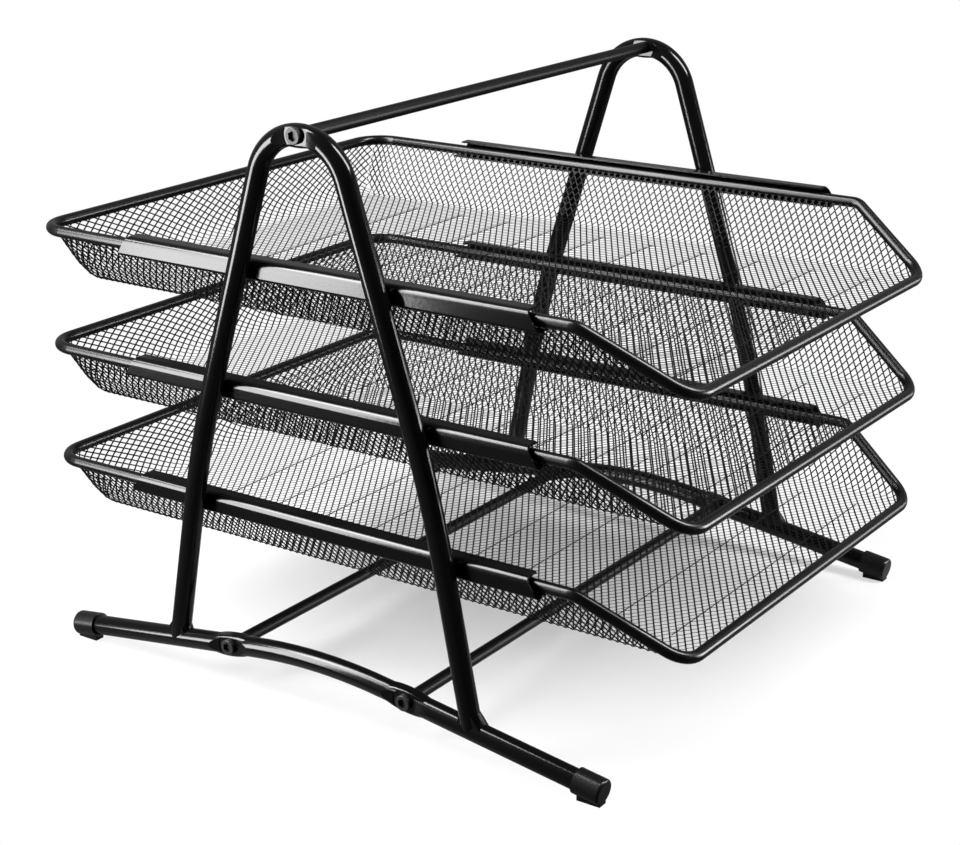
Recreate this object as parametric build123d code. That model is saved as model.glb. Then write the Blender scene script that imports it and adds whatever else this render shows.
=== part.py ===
from build123d import *
import os
from math import cos, radians, sin, sqrt, tan

# Three-tier mesh desk organizer, in millimetres.
# The desk is z = 0, the trays' open fronts face -Y, and the two side frames stand at -X and +X.
# Both side frames and all three trays are centred on x = 0 and y = 0.

# Tray rim, a bent wire
wire_diameter = 5.4
rim_width = 260.2            # between wire centres
rim_length = 344.8           # between wire centres
rim_back_radius = 16.0
rim_kink_to_front = 43.4     # length over which the rim dips to the front edge
rim_kink_radius = 8.0
rim_front_radius = 15.0
lowest_rim_height = 86.0
tray_pitch = 57.5
tray_names = ("bottom", "middle", "top")

# Tray basket, pressed from mesh sheet
basket_depth = 26.8          # from the rim's wire centre to the floor sheet
basket_inset = 18.4          # from the rim's wire centre in to the floor's side edge
basket_back_inset = 5.0      # from the rim's wire centre in to the floor's back edge
basket_hang = 1.6            # from the rim's wire centre in to the wall, at the rim's height
basket_thickness = 0.6
basket_floor_radius = 14.0   # back corners at floor level
basket_edge_radius = 8.0     # round between floor and walls
rib_spacing = 29.7
rib_first = 18.4             # from the front edge to the first rib
rib_width = 2.4
rib_height = 0.8
rib_margin = 19.7            # from each end of a rib to the side wall
mesh_column_pitch = 17.0     # between openings across the floor, a coarse grid for the fine mesh
mesh_bar_width = 3.0         # sheet left between openings across the floor
mesh_strip_width = 4.6       # sheet left between rows of openings, under each rib
mesh_side_margin = 9.0       # least sheet from the openings to the floor's side edge
mesh_back_margin = 26.0      # least sheet from the openings to the rim's back
mesh_wall_sill = 7.0         # from the floor sheet up to the openings in the walls
mesh_wall_head = 6.0         # from those openings up to the rim's wire centre
mesh_wall_first_row = 1      # rows from the front without openings in the walls

# Rails that the rims slide in, C-shaped and open towards the tray
rail_length = 229.4          # along the lower lip
rail_end_slant = 6.0         # how much shorter the upper lip is at each end
rail_wall = 0.9
rail_bend_radius = 1.4       # outside, at the lower bend
rail_crown_radius = 3.4      # outside, at the upper bend, which shows as a rounded shoulder
rail_lip_reach = 2.1         # how far the lips reach in past the wire's centre

# Side frames: tube arch on a bowed base tube
tube_diameter = 9.5
tube_wall = 1.0
arch_height = 265.5          # tube centre at the top of the arch
arch_bend_radius = 24.6      # tube centre, at the top of the arch
arch_upper_lean = 17.6       # degrees from vertical, above the knee
arch_lower_lean = 11.4       # degrees from vertical, below the knee
arch_knee_height = 119.5
arch_knee_radius = 600.0
base_length = 303.2          # over the foot caps
base_crown_height = 25.2     # tube centre at mid-length
base_crown_radius = 270.0
base_slope = 8.2             # degrees, from the crown down to each foot
weld_flare_radius = 8.0      # spread of the weld at a leg's foot, at the base tube's centre
weld_flare_height = 8.0      # where the weld runs out on the leg, above the base tube's centre
weld_flare_width = 7.4       # across the base tube

# Pressed flats where the rods are screwed on
flat_thickness = 6.2
flat_height = 10.6
flat_length = 32.0
flat_rounding = 1.2
flat_scoop_radius = 45.0     # run-in from the round tube to the flat
flat_spot_diameter = 12.4    # spot face under the screw head
lower_rod_spacing = 101.4    # between the two rods at the base

# Rods and their socket screws
rod_diameter = 6.0
screw_diameter = 4.0
screw_reach = 9.0            # length of thread inside the rod
screw_head_diameter = 7.4
screw_head_height = 2.0
screw_head_rounding = 0.4
screw_socket_flats = 4.0
screw_socket_depth = 1.6
tapped_hole_extra = 2.0      # depth of the tapped hole past the screw's tip

# Foot caps
cap_diameter = 11.8
cap_length = 13.5
cap_end_wall = 2.0
cap_rounding = 1.2
cap_pad_width = 5.0
cap_pad_length = 11.4
cap_pad_setback = 0.9        # from the cap's closed end to the pad

# Fits
slide_gap = 0.3              # under a rim in its rail
rail_head_gap = 1.7          # over a rim in its rail
rail_side_gap = 2.9          # between a rim and its rail's back
seat_gap = 0.05              # between curved faces that are welded or pushed together
screw_hole_gap = 0.2         # round a screw in its tube
rail_seat = 0.35             # how far a leg is pressed flat against a rail

# Worked out from the sizes above
tube_radius = tube_diameter / 2
wire_radius = wire_diameter / 2
rim_half_width = rim_width / 2
rim_half_length = rim_length / 2
rib_count = int((rim_length - rib_first - mesh_back_margin) / rib_spacing)
mesh_width = 2 * (rim_half_width - basket_inset - mesh_side_margin)
mesh_columns = int((mesh_width + mesh_bar_width) / mesh_column_pitch)
rim_kink_y = rim_kink_to_front - rim_half_length
front_half_width = rim_half_width - basket_inset
flat_face = flat_thickness / 2
rail_back = rim_half_width + wire_radius + rail_side_gap + rail_wall
rail_depth = rail_back - rim_half_width + rail_lip_reach
rail_bottom = -wire_radius - slide_gap - rail_wall
rail_top = wire_radius + rail_head_gap + rail_wall
rail_height = rail_top - rail_bottom
half_spacing = rail_back - rail_seat + tube_radius
base_corner_height = base_crown_height + base_crown_radius * (1 / cos(radians(base_slope)) - 1)
lower_rod_y = lower_rod_spacing / 2
sides = {"left": -1, "right": 1}


def base_height(y):
    """Height of the base tube's centre on its straight stretches."""
    return base_corner_height - abs(y) * tan(radians(base_slope))


def swept(path, radius):
    """Round bar along a path."""
    return sweep(Plane(origin=path @ 0, z_dir=path % 0) * Circle(radius), path=path)


def x_cylinder(radius, x_from, x_to, y, z):
    """Cylinder along X between two places."""
    middle = (x_from + x_to) / 2
    return Pos(middle, y, z) * Rot(0, 90, 0) * Cylinder(radius, abs(x_to - x_from))


def arch_path():
    """Centre line of an arch in the plane x = 0, run down past the base tube's centre."""
    upper = tan(radians(arch_upper_lean))
    lower = tan(radians(arch_lower_lean))
    peak = arch_height + arch_bend_radius * (1 / sin(radians(arch_upper_lean)) - 1)
    knee_y = (peak - arch_knee_height) * upper
    foot_y = knee_y + (arch_knee_height - base_height(knee_y)) * lower
    foot_z = base_height(foot_y)
    points = [(0, foot_y, foot_z), (0, knee_y, arch_knee_height), (0, 0, peak)]
    points += [(0, -y, z) for _, y, z in reversed(points[:2])]
    return FilletPolyline(*points, radius=[arch_knee_radius, arch_bend_radius, arch_knee_radius])


def base_path(half_length):
    """Centre line of a base tube in the plane x = 0."""
    end = (0, half_length, base_height(half_length))
    crown = (0, 0, base_corner_height)
    return FilletPolyline(end, crown, (0, -half_length, end[2]), radius=[base_crown_radius])


def press_flat(tube, bar, y, z, tilt):
    """Squeezes a tube flat round a screw and drills it there; the bar is the tube's filling."""
    place = Pos(0, y, z) * Rot(tilt, 0, 0)
    closed = bar & place * Box(tube_diameter, flat_length, 2 * tube_diameter)
    lens = extrude(Plane.YZ * Ellipse(flat_length / 2, flat_height / 2), amount=flat_face, both=True)
    lens = fillet(lens.edges().filter_by(GeomType.ELLIPSE), flat_rounding)
    scoop = Pos(flat_face + flat_scoop_radius, 0, 0) * Cylinder(flat_scoop_radius, 4 * tube_diameter)
    scoop += x_cylinder(flat_spot_diameter / 2, flat_face, tube_diameter, 0, 0)
    both_scoops = scoop + mirror(scoop, about=Plane.YZ)
    hole = x_cylinder(screw_diameter / 2 + screw_hole_gap, -tube_diameter, tube_diameter, 0, 0)
    return tube + closed + place * lens - place * both_scoops - place * hole


def base_tube_end():
    """Half length of the base tube itself, inside its caps."""
    return base_length / 2 - cap_end_wall * cos(radians(base_slope))


def make_base_tube():
    path = base_path(base_tube_end())
    tube = swept(path, tube_radius) - swept(path, tube_radius - tube_wall)
    bar = swept(path, tube_radius - tube_wall / 2)
    for side in (-1, 1):
        y = side * lower_rod_y
        tube = press_flat(tube, bar, y, base_height(y), -side * base_slope)
    return tube


def weld_flare(side):
    """Weld run out along the base tube from one leg's foot."""
    path = arch_path()
    foot = path @ 0
    cone = Pos(0, 0, weld_flare_height / 2) * Cone(weld_flare_radius, tube_radius, weld_flare_height)
    strip = Box(weld_flare_width, 4 * weld_flare_radius, 4 * weld_flare_height)
    flare = Pos(0, foot.Y, foot.Z) * Rot(arch_lower_lean, 0, 0) * (cone & strip)
    return flare if side > 0 else mirror(flare, about=Plane.XZ)


def make_arch():
    """Arch with its legs coped to the base tube and pressed flat where the rails are welded on."""
    path = arch_path()
    legs = swept(path, tube_radius) + weld_flare(1) + weld_flare(-1)
    arch = legs - swept(path, tube_radius - tube_wall)
    arch = press_flat(arch, swept(path, tube_radius - tube_wall / 2), 0, arch_height, 0)
    arch -= swept(base_path(base_tube_end()), tube_radius + seat_gap)
    for level in range(len(tray_names)):
        seat = Pos(0, 0, (rail_bottom + rail_top) / 2) * Box(tube_diameter, rail_length, rail_height)
        arch -= Pos(rail_seat - tube_diameter, 0, 0) * to_level(level) * seat
    return arch


def make_cap(end):
    """Plastic cap on one end of a base tube, with a flat pad to stand on."""
    tilt = -end * base_slope
    reach = base_length / 2
    tip = Pos(0, end * reach, base_height(reach)) * Rot(tilt, 0, 0) * Rot(-90 * end, 0, 0)
    body = Pos(0, 0, -cap_length / 2) * Cylinder(cap_diameter / 2, cap_length)
    body = fillet(body.edges().sort_by(Axis.Z)[-1], cap_rounding)
    pad_y = end * (reach - cap_pad_setback - cap_pad_length / 2)
    pad_height = base_height(pad_y)
    pad = Pos(0, pad_y, pad_height / 2) * Box(cap_pad_width, cap_pad_length, pad_height)
    bore_length = base_length
    bore = Pos(0, 0, -cap_end_wall - bore_length / 2) * Cylinder(tube_radius + seat_gap, bore_length)
    return tip * body + pad - tip * bore


def make_rod():
    """Rod between the side frames, tapped at both ends, centred on the origin."""
    half_length = half_spacing - flat_face
    rod = x_cylinder(rod_diameter / 2, -half_length, half_length, 0, 0)
    depth = screw_reach + tapped_hole_extra
    for side in (-1, 1):
        end = side * half_length
        rod -= x_cylinder(screw_diameter / 2 + seat_gap, end - side * depth, end, 0, 0)
    return rod


def make_screw(side):
    """Socket screw along X through a side frame's pressed flat, head outwards."""
    face = side * (half_spacing + flat_face)
    head_end = face + side * screw_head_height
    tip = side * (half_spacing - flat_face - screw_reach)
    head = x_cylinder(screw_head_diameter / 2, face, head_end, 0, 0)
    head = fillet(head.edges().group_by(Axis.X)[-1 if side > 0 else 0], screw_head_rounding)
    shank = x_cylinder(screw_diameter / 2, tip, face, 0, 0)
    socket_radius = screw_socket_flats / 2 / cos(radians(30))
    hexagon = Pos(head_end, 0, 0) * Rot(0, 90, 0) * RegularPolygon(socket_radius, 6)
    return head + shank - extrude(hexagon, amount=-side * screw_socket_depth)


def fillet_bends(outline, inward):
    """Rail outline with its lower and upper bend rounded, on the skin that far inward."""
    lower = outline.vertices().group_by(Axis.X)[-1].sort_by(Axis.Y)[0]
    outline = fillet(lower, rail_bend_radius - inward)
    upper = outline.vertices().group_by(Axis.Y)[-1].sort_by(Axis.X)[-1]
    return fillet(upper, rail_crown_radius - inward)


def make_rail():
    """Right-hand rail about a rim's wire height, its back against the legs."""
    inner_edge = rail_back - rail_depth
    outline = Pos((inner_edge + rail_back) / 2, 0) * Rectangle(rail_depth, rail_height)
    outline = fillet_bends(outline, 0)
    mouth = Pos(inner_edge - rail_wall, 0) * Rectangle(2 * rail_depth, rail_height - 2 * rail_wall)
    mouth = fillet_bends(mouth, rail_wall)
    section = Plane.XZ * Pos(0, (rail_bottom + rail_top) / 2) * (outline - mouth)
    rail = extrude(section, amount=rail_length / 2, both=True)
    half = rail_length / 2
    trim = Plane.YZ * Polygon(
        (half, rail_bottom), (half, rail_top), (half - rail_end_slant, rail_top), align=None
    )
    corner = extrude(trim, amount=2 * rail_back)
    return rail - corner - mirror(corner, about=Plane.XZ)


def rim_path():
    """Half of a rim's wire centre line, from the middle of its back to the middle of its front."""
    return FilletPolyline(
        (0, rim_half_length, 0),
        (rim_half_width, rim_half_length, 0),
        (rim_half_width, rim_kink_y, 0),
        (front_half_width, -rim_half_length, -basket_depth),
        (0, -rim_half_length, -basket_depth),
        radius=[rim_back_radius, rim_kink_radius, rim_front_radius],
    )


def ring(radius):
    """Round bar along a whole rim."""
    half = swept(rim_path(), radius)
    return half + mirror(half, about=Plane.YZ)


def wall_inset(floor_inset, z, shrink):
    """Distance in from the rim's wire centre to a sloping wall at one height."""
    slope = (floor_inset - basket_hang) / basket_depth
    return basket_hang - slope * z + (shrink - basket_thickness / 2) * sqrt(1 + slope**2)


def tub(shrink):
    """Solid inside a basket's outer skin, moved in by shrink on the floor and walls."""
    floor_z = -basket_depth - basket_thickness / 2 + shrink
    top_z = wire_diameter
    front = -rim_half_length
    levels = []
    for z in (floor_z, top_z):
        half_width = rim_half_width - wall_inset(basket_inset, z, shrink)
        back = rim_half_length - wall_inset(basket_back_inset, z, shrink)
        outline = Pos(0, (back + front) / 2) * Rectangle(2 * half_width, back - front)
        radius = basket_floor_radius if z == floor_z else rim_back_radius
        outline = fillet(outline.vertices().group_by(Axis.Y)[-1], radius)
        levels.append(Pos(0, 0, z) * outline)
    solid = loft(levels, ruled=True)
    floor_edges = solid.edges().group_by(Axis.Z)[0].sort_by(Axis.Y)[1:]
    return fillet(floor_edges, basket_edge_radius - shrink)


def mesh_openings():
    """Coarse grid of openings for a basket, one row behind each rib."""
    across = mesh_column_pitch - mesh_bar_width
    along = rib_spacing - mesh_strip_width
    middle_row = rib_first + rib_count * rib_spacing / 2 - rim_half_length
    height = basket_depth - mesh_wall_sill - mesh_wall_head
    wall_z = -mesh_wall_head - height / 2
    back_reach = basket_back_inset + basket_edge_radius
    side_rows = rib_count - mesh_wall_first_row
    side_middle = middle_row + mesh_wall_first_row * rib_spacing / 2
    holes = [
        Pos(0, middle_row, -basket_depth) * place * Box(across, along, wire_diameter)
        for place in GridLocations(mesh_column_pitch, rib_spacing, mesh_columns, rib_count)
    ]
    holes += [
        Pos(0, side_middle, wall_z) * place * Box(rim_width, along, height)
        for place in GridLocations(1, rib_spacing, 1, side_rows)
    ]
    holes += [
        Pos(0, rim_half_length, wall_z) * place * Box(across, 2 * back_reach, height)
        for place in GridLocations(mesh_column_pitch, 1, mesh_columns, 1)
    ]
    return holes


def make_basket():
    """Pressed mesh sheet below a rim, open at the front, with ribs across its floor."""
    shell = tub(0) - tub(basket_thickness) - mesh_openings()
    cut_line = Plane.YZ * Polygon(
        (rim_half_length + rim_length, 0),
        (rim_kink_y, 0),
        (-rim_half_length, -basket_depth),
        (-rim_length, -basket_depth),
        (-rim_length, rim_length),
        (rim_half_length + rim_length, rim_length),
        align=None,
    )
    floor_top = -basket_depth + basket_thickness / 2
    rib_length = 2 * (front_half_width - rib_margin)
    rib = extrude(Plane.YZ * Ellipse(rib_width / 2, rib_height), amount=rib_length / 2, both=True)
    for index in range(rib_count):
        y = rib_first + index * rib_spacing - rim_half_length
        shell += Pos(0, y, floor_top) * rib - Pos(0, y, floor_top - rib_height) * Box(
            rim_width, rib_spacing, 2 * rib_height
        )
    return shell - extrude(cut_line, amount=rim_width, both=True) - ring(wire_radius + seat_gap)


def to_level(level):
    """Moves a shape from the rim's own height to one tray's height."""
    return Pos(0, 0, lowest_rim_height + level * tray_pitch)


def on_side(shape, sign):
    """A right-hand shape, or its mirror image for the left side."""
    return shape if sign > 0 else mirror(shape, about=Plane.YZ)


def save(shape, node):
    export_step(shape, f"parts/{node}.step")


os.makedirs("parts", exist_ok=True)

arch = make_arch()
base_tube = make_base_tube()
rail = make_rail()
caps = {"rear": make_cap(1), "front": make_cap(-1)}
rod = make_rod()
rod_places = {
    "top": (0, arch_height),
    "rear_lower": (lower_rod_y, base_height(lower_rod_y)),
    "front_lower": (-lower_rod_y, base_height(lower_rod_y)),
}
rim = ring(wire_radius)
basket = make_basket()

to_right = Pos(half_spacing, 0, 0)
for side, sign in sides.items():
    save(on_side(to_right * arch, sign), f"{side}_side_arch")
    save(on_side(to_right * base_tube, sign), f"{side}_base_tube")
    for end, cap in caps.items():
        save(on_side(to_right * cap, sign), f"{side}_{end}_foot_cap")
    for level, name in enumerate(tray_names):
        save(on_side(to_level(level) * rail, sign), f"{side}_{name}_rail")
    for place, (y, z) in rod_places.items():
        save(Pos(0, y, z) * make_screw(sign), f"{side}_{place}_screw")

for place, (y, z) in rod_places.items():
    save(Pos(0, y, z) * rod, f"{place}_rod")

for level, name in enumerate(tray_names):
    save(to_level(level) * rim, f"{name}_tray_rim")
    save(to_level(level) * basket, f"{name}_tray_basket")
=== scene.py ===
import bpy
from math import acos, atan2, ceil, cos, pi, radians, sin, tan
from mathutils import Matrix, Vector


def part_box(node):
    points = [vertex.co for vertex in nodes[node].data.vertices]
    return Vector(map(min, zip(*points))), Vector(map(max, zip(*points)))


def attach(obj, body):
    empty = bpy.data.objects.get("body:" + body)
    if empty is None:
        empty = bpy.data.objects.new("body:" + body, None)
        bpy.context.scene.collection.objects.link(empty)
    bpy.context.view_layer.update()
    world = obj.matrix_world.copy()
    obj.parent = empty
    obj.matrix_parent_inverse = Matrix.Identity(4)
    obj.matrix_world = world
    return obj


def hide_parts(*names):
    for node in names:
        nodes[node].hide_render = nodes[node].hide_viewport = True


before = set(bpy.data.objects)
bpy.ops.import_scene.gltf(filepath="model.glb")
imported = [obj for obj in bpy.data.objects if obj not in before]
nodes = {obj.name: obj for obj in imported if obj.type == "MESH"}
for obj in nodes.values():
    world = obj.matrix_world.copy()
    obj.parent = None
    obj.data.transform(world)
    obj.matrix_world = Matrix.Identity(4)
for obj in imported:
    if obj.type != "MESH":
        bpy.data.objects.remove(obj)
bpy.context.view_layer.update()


# Side frames: steel tube bent to an arch with leaning legs, welded down on a bowed base tube.
# Both are painted black together, a thin semi-gloss coat with a little orange peel.
def black_paint(name, colour, gloss, roughness, peel_size, peel_depth):
    paint = bpy.data.materials.new(name)
    paint.use_nodes = True
    tree = paint.node_tree
    shader = tree.nodes["Principled BSDF"]
    shader.inputs["Base Color"].default_value = (*colour, 1.0)
    shader.inputs["Roughness"].default_value = roughness
    shader.inputs["Specular IOR Level"].default_value = gloss
    place = tree.nodes.new("ShaderNodeTexCoord")
    peel = tree.nodes.new("ShaderNodeTexNoise")
    peel.inputs["Scale"].default_value = 1.0 / peel_size
    peel.inputs["Detail"].default_value = 3.0
    bump = tree.nodes.new("ShaderNodeBump")
    bump.inputs["Strength"].default_value = 1.0
    bump.inputs["Distance"].default_value = peel_depth
    tree.links.new(place.outputs["Object"], peel.inputs["Vector"])
    tree.links.new(peel.outputs["Fac"], bump.inputs["Height"])
    tree.links.new(bump.outputs["Normal"], shader.inputs["Normal"])
    return paint


def finish_node(node, material):
    for place in nodes[node].material_slots:
        place.material = material


tube_paint = black_paint(
    "tube_paint", colour=(0.0018, 0.0018, 0.002), gloss=0.2, roughness=0.14, peel_size=0.0018, peel_depth=0.00002
)
for side in ("left", "right"):
    finish_node(f"{side}_side_arch", tube_paint)
    finish_node(f"{side}_base_tube", tube_paint)


# Foot caps: black plastic sleeves moulded with a flat pad, pushed over the ends of the base tubes.
# The plastic has a soft sheen over a fine spark-eroded grain.
cap_plastic = black_paint(
    "cap_plastic", colour=(0.003, 0.003, 0.0032), gloss=0.2, roughness=0.26, peel_size=0.0007, peel_depth=0.00003
)
for side in ("left", "right"):
    for end in ("front", "rear"):
        finish_node(f"{side}_{end}_foot_cap", cap_plastic)


# Rods: round steel bars between the side frames, tapped at both ends.
# They are painted the same black as the tubes, a little duller.
rod_paint = black_paint(
    "rod_paint", colour=(0.0015, 0.0015, 0.0018), gloss=0.1, roughness=0.4, peel_size=0.0018, peel_depth=0.00002
)
for place in ("top", "rear_lower", "front_lower"):
    finish_node(f"{place}_rod", rod_paint)


# Socket screws: blackened steel, one through each pressed flat into the end of a rod.
# Their heads hold the rods to the side frames.
screw_steel = black_paint(
    "screw_steel", colour=(0.02, 0.02, 0.021), gloss=0.2, roughness=0.4, peel_size=0.0006, peel_depth=0.00001
)
screw_steel.node_tree.nodes["Principled BSDF"].inputs["Metallic"].default_value = 0.4
for side in ("left", "right"):
    for place in ("top", "rear_lower", "front_lower"):
        finish_node(f"{side}_{place}_screw", screw_steel)


# Rails: sheet steel folded to a C, open towards the trays and welded to the inner side of the legs.
# They are painted semi-gloss black with the frame.
rail_paint = black_paint(
    "rail_paint", colour=(0.0018, 0.0018, 0.002), gloss=0.2, roughness=0.15, peel_size=0.002, peel_depth=0.00002
)
for side in ("left", "right"):
    for tray in ("bottom", "middle", "top"):
        finish_node(f"{side}_{tray}_rail", rail_paint)


# Tray rims: steel wire bent to a loop that dips at the front, its ends butt-welded.
# The wire is painted semi-gloss black and slides in the rails.
rim_paint = black_paint(
    "rim_paint", colour=(0.0015, 0.0015, 0.0018), gloss=0.25, roughness=0.27, peel_size=0.002, peel_depth=0.00001
)
for tray in ("bottom", "middle", "top"):
    finish_node(f"{tray}_tray_rim", rim_paint)


# Tray baskets: steel sheet slit and drawn out to diamonds, which twists its strands, then pressed to a shallow
# tub with ridges across its floor. The edge is welded inside the rim, and the mesh is painted satin black.
mesh_paint = black_paint(
    "mesh_paint", colour=(0.002, 0.002, 0.0022), gloss=0.08, roughness=0.4, peel_size=0.002, peel_depth=0.00001
)
ridge_spacing = 0.0297
diamond_length = 0.00585
diamond_width = ridge_spacing / 8
strand_width = 0.00064
strand_thickness = 0.0001
strand_twist = 0.00024
knuckle_length = 0.0001
wire_radius = 0.0027
wall_hang = 0.0016
side_inset = 0.0184
back_inset = 0.005
side_edge_radius = 0.006
back_edge_radius = 0.012
floor_corner_radius = 0.006
rim_corner_radius = 0.0125
kink_to_front = 0.0434
ridge_count = 10
ridge_first = 0.0184
ridge_height = 0.0005
ridge_margin = 0.0197
ridge_line_width = 0.0005
ridge_line_height = 0.0003
ridge_line_round = 0.00012
corner_ease = 0.1
least_opening = 0.3
wall_start = 0.003

rim_low, rim_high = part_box("bottom_tray_rim")
rim_z = rim_high[2] - wire_radius
front_z = rim_low[2] + wire_radius
half_width = rim_high[0] - wire_radius
half_length = rim_high[1] - wire_radius
front_y = -half_length
depth = rim_z - front_z
side_angle = atan2(depth, side_inset - wall_hang)
back_angle = atan2(depth, back_inset - wall_hang)
side_wall = (side_angle, side_edge_radius)
back_wall = (back_angle, back_edge_radius)
floor_x = half_width - side_inset - side_edge_radius * tan(side_angle / 2)
floor_y = half_length - back_inset - back_edge_radius * tan(back_angle / 2)
core_x = floor_x - floor_corner_radius
core_y = floor_y - floor_corner_radius


def wall_height(reach, wall):
    """Height of the sheet that far past the start of the round at the floor's edge."""
    angle, radius = wall
    turn = min(reach / radius, angle)
    straight = max(reach - radius * angle, 0.0)
    return radius * (1 - cos(turn)) + straight * sin(angle)


def wall_out(up, wall):
    """Distance of the wall past the start of the round, at one height."""
    angle, radius = wall
    turn = acos(max(1 - up / radius, cos(angle)))
    return radius * sin(turn) + max(up - radius * (1 - cos(turn)), 0.0) / tan(angle)


def ease(amount):
    amount = min(max(amount, 0.0), 1.0)
    return amount * amount * (3 - 2 * amount)


def corner_at(up):
    """Radius of the tub's back corners at one height, and the middle of the right-hand one."""
    radius = min(floor_corner_radius + wall_out(up, side_wall), rim_corner_radius)
    return radius, floor_x + wall_out(up, side_wall) - radius, floor_y + wall_out(up, back_wall) - radius


def pressed(u, v):
    """Where a point of the flat sheet lies once the sheet is pressed, and how far it is round a corner."""
    side = 1 if u >= 0 else -1
    u = abs(u)
    on_side = u - floor_x > v - floor_y
    reach = u - floor_x if on_side else v - floor_y
    if reach <= 0 and min(u - core_x, v - core_y) <= 0:
        return side * u, v, 0.0, 0.0
    up = wall_height(max(reach, 0.0), side_wall if on_side else back_wall)
    radius, middle_x, middle_y = corner_at(up)
    radius += min(reach, 0.0)
    past = v - core_y if on_side else u - core_x
    turn = pi / 4 * max(past, 0.0) / radius
    if past > 0 and on_side:
        x, y = middle_x + radius * cos(turn), middle_y + radius * sin(turn)
    elif past > 0:
        x, y = middle_x + radius * sin(turn), middle_y + radius * cos(turn)
    elif on_side:
        x, y = middle_x + radius, v + (middle_y - core_y) * ease(1 + past / corner_ease)
    else:
        x, y = u + (middle_x - core_x) * ease(1 + past / corner_ease), middle_y + radius
    return side * x, y, up, turn


def ridge_lift(x, y):
    """Height of the pressed ridges over the flat floor."""
    if abs(x) > half_width - side_inset - ridge_margin:
        return 0.0
    number = round((y - front_y - ridge_first) / ridge_spacing)
    if not 0 <= number < ridge_count:
        return 0.0
    away = abs(y - front_y - ridge_first - number * ridge_spacing)
    return ridge_height * max(0.0, 1 - away / diamond_width)


flat_reach = back_edge_radius * back_angle + depth / sin(side_angle)
columns = 2 * ceil((floor_x + flat_reach) / diamond_length)
rows_ahead = ceil((ridge_first + diamond_width) / diamond_width)
rows_behind = ceil((floor_y + flat_reach - front_y - ridge_first) / diamond_width)
sheet_width = columns * diamond_length
sheet_length = (rows_ahead + rows_behind) * diamond_width
sheet_middle = front_y + ridge_first + (rows_behind - rows_ahead) * diamond_width / 2
bpy.ops.object.select_all(action="DESELECT")
bpy.ops.mesh.primitive_grid_add(x_subdivisions=columns, y_subdivisions=rows_ahead + rows_behind, size=1.0)
basket = bpy.context.object
basket.scale = (sheet_width, sheet_length, 1)
basket.location = (0, sheet_middle, 0)
bpy.ops.object.transform_apply(location=True, rotation=True, scale=True)
bpy.ops.object.mode_set(mode="EDIT")
bpy.ops.mesh.select_all(action="SELECT")
bpy.ops.mesh.poke()
bpy.ops.mesh.select_mode(type="EDGE")
bpy.ops.mesh.select_all(action="DESELECT")
bpy.ops.object.mode_set(mode="OBJECT")
sheet = basket.data
for edge in sheet.edges:
    run = sheet.vertices[edge.vertices[1]].co - sheet.vertices[edge.vertices[0]].co
    edge.select = min(abs(run.x), abs(run.y)) < diamond_width / 10
bpy.ops.object.mode_set(mode="EDIT")
bpy.ops.mesh.dissolve_edges(use_verts=False)
bpy.ops.mesh.select_mode(type="FACE")
bpy.ops.mesh.select_all(action="DESELECT")
bpy.ops.object.mode_set(mode="OBJECT")
for face in sheet.polygons:
    face.select = pressed(face.center.x, face.center.y)[3] > pi / 4
bpy.ops.object.mode_set(mode="EDIT")
bpy.ops.mesh.delete(type="FACE")
bpy.ops.object.mode_set(mode="OBJECT")
for vertex in sheet.vertices:
    x, y, up, turn = pressed(vertex.co.x, vertex.co.y)
    vertex.co = (x, y, front_z + up + ridge_lift(x, y))
bpy.ops.object.mode_set(mode="EDIT")
bpy.ops.mesh.select_all(action="SELECT")
bpy.ops.mesh.bisect(plane_co=(0, 0, rim_z), plane_no=(0, 0, 1), clear_outer=True)
bpy.ops.mesh.select_all(action="SELECT")
bpy.ops.mesh.bisect(
    plane_co=(0, front_y, front_z), plane_no=Vector((0, -depth, kink_to_front)).normalized(), clear_outer=True
)
bpy.ops.mesh.select_all(action="DESELECT")
bpy.ops.object.mode_set(mode="OBJECT")
whole_diamond = diamond_length * diamond_width / 2
for face in sheet.polygons:
    face.select = face.area > least_opening * whole_diamond
bpy.ops.object.mode_set(mode="EDIT")
bpy.ops.mesh.inset(thickness=strand_width / 2, use_individual=True, use_even_offset=True)
bpy.ops.object.mode_set(mode="OBJECT")
for face in sheet.polygons:
    if face.select and len(face.vertices) == 4:
        corners = [sheet.vertices[number] for number in face.vertices]
        pairs = (corners[::2], corners[1::2])
        short, long = sorted(pairs, key=lambda pair: (pair[1].co - pair[0].co).length)
        pull = knuckle_length * (long[1].co - long[0].co).normalized()
        long[0].co += pull
        long[1].co -= pull
        front, back = sorted(short, key=lambda corner: corner.co.y + corner.co.z)
        front.co -= strand_twist * face.normal
        back.co += strand_twist * face.normal
bpy.ops.object.mode_set(mode="EDIT")
bpy.ops.mesh.delete(type="FACE")
bpy.ops.mesh.select_all(action="DESELECT")
bpy.ops.object.mode_set(mode="OBJECT")
for face in sheet.polygons:
    face.select = face.center.z > front_z + wall_start
bpy.ops.object.mode_set(mode="EDIT")
bpy.ops.mesh.separate(type="SELECTED")
bpy.ops.object.mode_set(mode="OBJECT")
walls = [piece for piece in bpy.context.selected_objects if piece is not basket][0]

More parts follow.
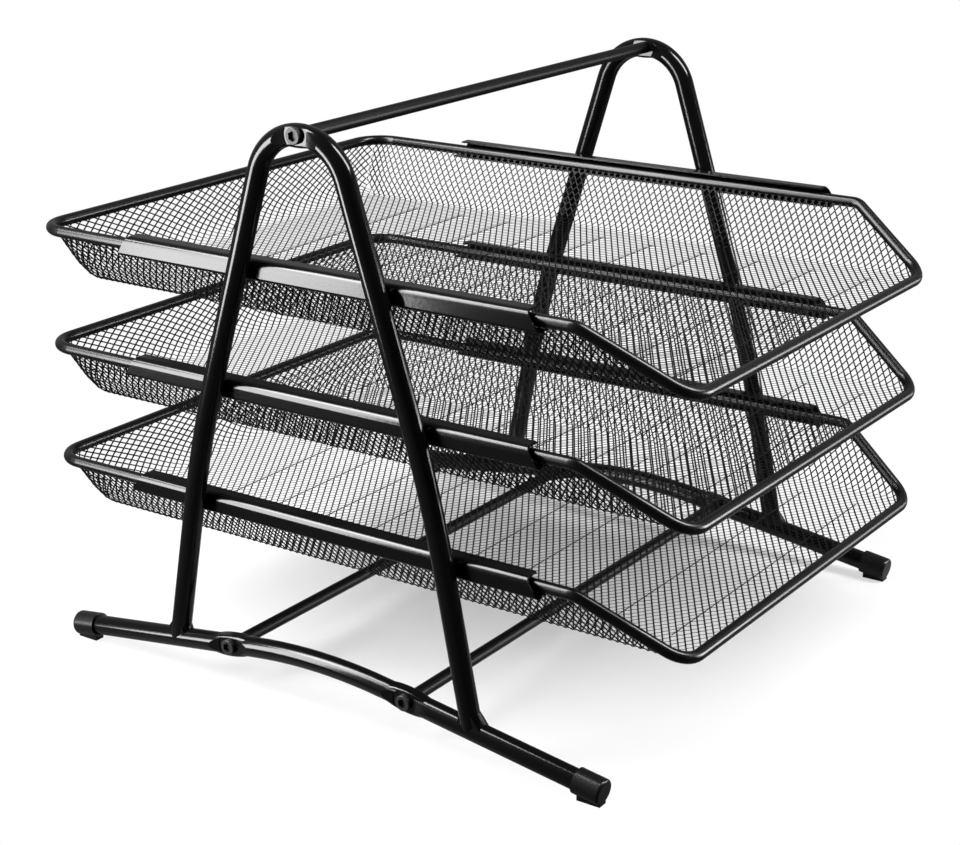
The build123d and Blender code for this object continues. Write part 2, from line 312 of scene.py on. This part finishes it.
for part, source in (("floor", basket), ("wall", walls)):
    thicken = source.modifiers.new("thicken", "SOLIDIFY")
    thicken.thickness = strand_thickness
    thicken.offset = 0
    bpy.context.view_layer.objects.active = source
    bpy.ops.object.modifier_apply(modifier="thicken")
    if part == "floor":
        for number in range(ridge_count):
            bpy.ops.object.select_all(action="DESELECT")
            bpy.ops.mesh.primitive_cube_add(size=1.0)
            line = bpy.context.object
            line.scale = (2 * (half_width - side_inset - ridge_margin), ridge_line_width, ridge_line_height)
            line.location = (0, front_y + ridge_first + number * ridge_spacing, front_z + ridge_height)
            bpy.ops.object.transform_apply(location=True, rotation=True, scale=True)
            round_over = line.modifiers.new("round_over", "BEVEL")
            round_over.width = ridge_line_round
            round_over.segments = 2
            bpy.ops.object.modifier_apply(modifier="round_over")
            source.select_set(True)
            bpy.context.view_layer.objects.active = source
            bpy.ops.object.join()
    source.data.materials.append(mesh_paint)
    for tray in ("bottom", "middle", "top"):
        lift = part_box(f"{tray}_tray_rim")[1][2] - rim_high[2]
        mesh = source.data.copy()
        mesh.transform(Matrix.Translation((0, 0, lift)))
        tray_mesh = bpy.data.objects.new(f"{tray}_tray_mesh_{part}", mesh)
        bpy.context.collection.objects.link(tray_mesh)
        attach(tray_mesh, f"{tray}_tray")
        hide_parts(f"{tray}_tray_basket")
    bpy.data.objects.remove(source)


# Studio: a wide white sheet, lit from within as an overexposed sweep is, that keeps the object's shadow. Around a
# point under the trays its glow fades out to a dimmer grey, a painted shade patch that the real shadow also falls
# on.
# The room is white behind the object and dark behind the camera, with strip lamps above, at the left and in front,
# and two small lamps low down at the right.
bpy.ops.object.select_all(action="DESELECT")
bpy.ops.mesh.primitive_plane_add(size=12, location=(0, 0, 0))
floor = bpy.context.object
floor.name = "studio_floor"
floor_white = bpy.data.materials.new("floor_white")
floor_white.use_nodes = True
tree = floor_white.node_tree
shader = tree.nodes["Principled BSDF"]
shader.inputs["Base Color"].default_value = (0.5, 0.5, 0.5, 1)
shader.inputs["Roughness"].default_value = 0.2
place = tree.nodes.new("ShaderNodeTexCoord")
distance = tree.nodes.new("ShaderNodeVectorMath")
distance.operation = "DISTANCE"
distance.inputs[1].default_value = (0.07, 0.03, 0)
# Painted shade: near this point the floor is mostly a dimmer grey surface instead of glow. It reads darker under
# the trays partly from that colour and partly from the real shadow on it.
shade_patch_fade = tree.nodes.new("ShaderNodeMapRange")
shade_patch_fade.interpolation_type = "SMOOTHSTEP"
shade_patch_fade.inputs["From Min"].default_value = 0.05
shade_patch_fade.inputs["From Max"].default_value = 0.295
shade_patch_fade.inputs["To Min"].default_value = 0.08
glow = tree.nodes.new("ShaderNodeEmission")
glow.inputs["Color"].default_value = (1, 1, 1, 1)
rays = tree.nodes.new("ShaderNodeLightPath")
seen = tree.nodes.new("ShaderNodeMath")
seen.operation = "MAXIMUM"
strength = tree.nodes.new("ShaderNodeMapRange")
strength.inputs["To Min"].default_value = 0.12
mix = tree.nodes.new("ShaderNodeMixShader")
tree.links.new(place.outputs["Object"], distance.inputs[0])
tree.links.new(distance.outputs["Value"], shade_patch_fade.inputs["Value"])
tree.links.new(shade_patch_fade.outputs["Result"], mix.inputs["Fac"])
tree.links.new(rays.outputs["Is Camera Ray"], seen.inputs[0])
tree.links.new(rays.outputs["Is Transmission Ray"], seen.inputs[1])
tree.links.new(seen.outputs["Value"], strength.inputs["Value"])
tree.links.new(strength.outputs["Result"], glow.inputs["Strength"])
tree.links.new(shader.outputs["BSDF"], mix.inputs[1])
tree.links.new(glow.outputs["Emission"], mix.inputs[2])
tree.links.new(mix.outputs["Shader"], tree.nodes["Material Output"].inputs["Surface"])
floor.data.materials.append(floor_white)

world = bpy.data.worlds.new("studio_room")
bpy.context.scene.world = world
world.use_nodes = True
tree = world.node_tree
room = tree.nodes["Background"]
room.inputs["Color"].default_value = (1, 1, 1, 1)
backdrop = tree.nodes.new("ShaderNodeBackground")
backdrop.inputs["Color"].default_value = (1, 1, 1, 1)
backdrop.inputs["Strength"].default_value = 1.0
place = tree.nodes.new("ShaderNodeTexCoord")
behind = tree.nodes.new("ShaderNodeVectorMath")
behind.operation = "DOT_PRODUCT"
behind.inputs[1].default_value = (0.82, 0.57, 0)
bright = tree.nodes.new("ShaderNodeMapRange")
bright.interpolation_type = "SMOOTHSTEP"
bright.inputs["From Min"].default_value = 0.1
bright.inputs["From Max"].default_value = 0.8
bright.inputs["To Min"].default_value = 0.04
bright.inputs["To Max"].default_value = 0.3
rays = tree.nodes.new("ShaderNodeLightPath")
either = tree.nodes.new("ShaderNodeMath")
either.operation = "MAXIMUM"
mix = tree.nodes.new("ShaderNodeMixShader")
tree.links.new(place.outputs["Generated"], behind.inputs[0])
tree.links.new(behind.outputs["Value"], bright.inputs["Value"])
tree.links.new(bright.outputs["Result"], room.inputs["Strength"])
tree.links.new(rays.outputs["Is Camera Ray"], either.inputs[0])
tree.links.new(rays.outputs["Is Transmission Ray"], either.inputs[1])
tree.links.new(either.outputs["Value"], mix.inputs["Fac"])
tree.links.new(room.outputs["Background"], mix.inputs[1])
tree.links.new(backdrop.outputs["Background"], mix.inputs[2])
tree.links.new(mix.outputs["Shader"], tree.nodes["World Output"].inputs["Surface"])


def softbox(name, place, target, width, height, watts):
    lamp = bpy.data.lights.new(name, "AREA")
    lamp.shape = "RECTANGLE"
    lamp.size = width
    lamp.size_y = height
    lamp.energy = watts
    holder = bpy.data.objects.new(name, lamp)
    bpy.context.collection.objects.link(holder)
    holder.location = place
    holder.rotation_euler = (Vector(target) - Vector(place)).to_track_quat("-Z", "Y").to_euler()


softbox("overhead_box", place=(-0.54, 0.65, 1.15), target=(-0.1, 0.05, 0.15), width=0.3, height=0.9, watts=32)
softbox("left_box", place=(-0.55, 0.4, 0.42), target=(-0.13, 0.1, 0.42), width=0.22, height=0.8, watts=18)
softbox("right_box", place=(0.78, -0.99, 0.22), target=(-0.1, -0.1, 0.15), width=0.3, height=0.4, watts=13)
softbox("low_box", place=(1.2, -0.84, 0.16), target=(0.0, -0.17, 0.15), width=0.5, height=0.3, watts=3)
softbox("front_box", place=(0.3, -0.68, 1.08), target=(-0.1, -0.15, 0.18), width=0.3, height=0.85, watts=32)

bpy.context.scene.view_settings.view_transform = "Standard"


# Camera: a long lens to the left of the trays' fronts, a little above the top tray.
# Its place, turn and lens were fitted to the feet, the arches and the rims in the photograph.
camera_place = (-0.78212, -0.53718, 0.42722)
camera_turn = -55.32
camera_height_angle = 19.01
camera_roll = -0.31
image_width = 960
image_height = 845
lens_pixels = 2033.45
centre_x = 487.62
centre_y = 420.08
lens = bpy.data.cameras.new("photo_camera")
lens.sensor_width = 36
lens.lens = lens_pixels / image_width * lens.sensor_width
lens.shift_x = (image_width / 2 - centre_x) / image_width
lens.shift_y = (centre_y - image_height / 2) / image_width
camera = bpy.data.objects.new("photo_camera", lens)
bpy.context.collection.objects.link(camera)
camera.matrix_world = (
    Matrix.Translation(camera_place)
    @ Matrix.Rotation(radians(camera_turn), 4, "Z")
    @ Matrix.Rotation(radians(90 - camera_height_angle), 4, "X")
    @ Matrix.Rotation(radians(camera_roll), 4, "Z")
)
bpy.context.scene.camera = camera
